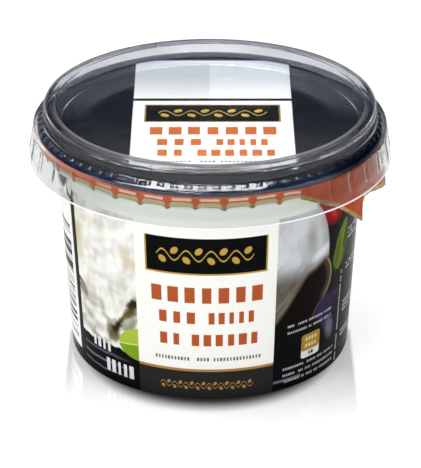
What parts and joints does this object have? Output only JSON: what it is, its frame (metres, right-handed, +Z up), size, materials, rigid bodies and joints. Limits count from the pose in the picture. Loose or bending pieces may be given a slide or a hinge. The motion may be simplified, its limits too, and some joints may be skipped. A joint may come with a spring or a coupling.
{
  "type": "sealed tub of burrata",
  "caption": "Sealed round dairy tub of burrata cheese: tapered printed tub, peel film lid with a pull tab, and a clear push-on overcap with a stacking ring.",
  "frame": {"origin": "centre of the foot, where the tub stands on a surface", "axes": "+Z up along the tub's axis; -Y towards the front of the label; the pull tab hangs at the +X side, towards the front"},
  "size_m": [0.1008, 0.1008, 0.0729],
  "materials": {
    "tub": "satin printed label moulded into the wall",
    "film_lid": "glossy printed film",
    "overcap": "clear, glossy"
  },
  "bodies": {
    "root": {"tub": "tub", "film_lid": "film_lid", "overcap": "overcap"}
  },
  "joints": []
}
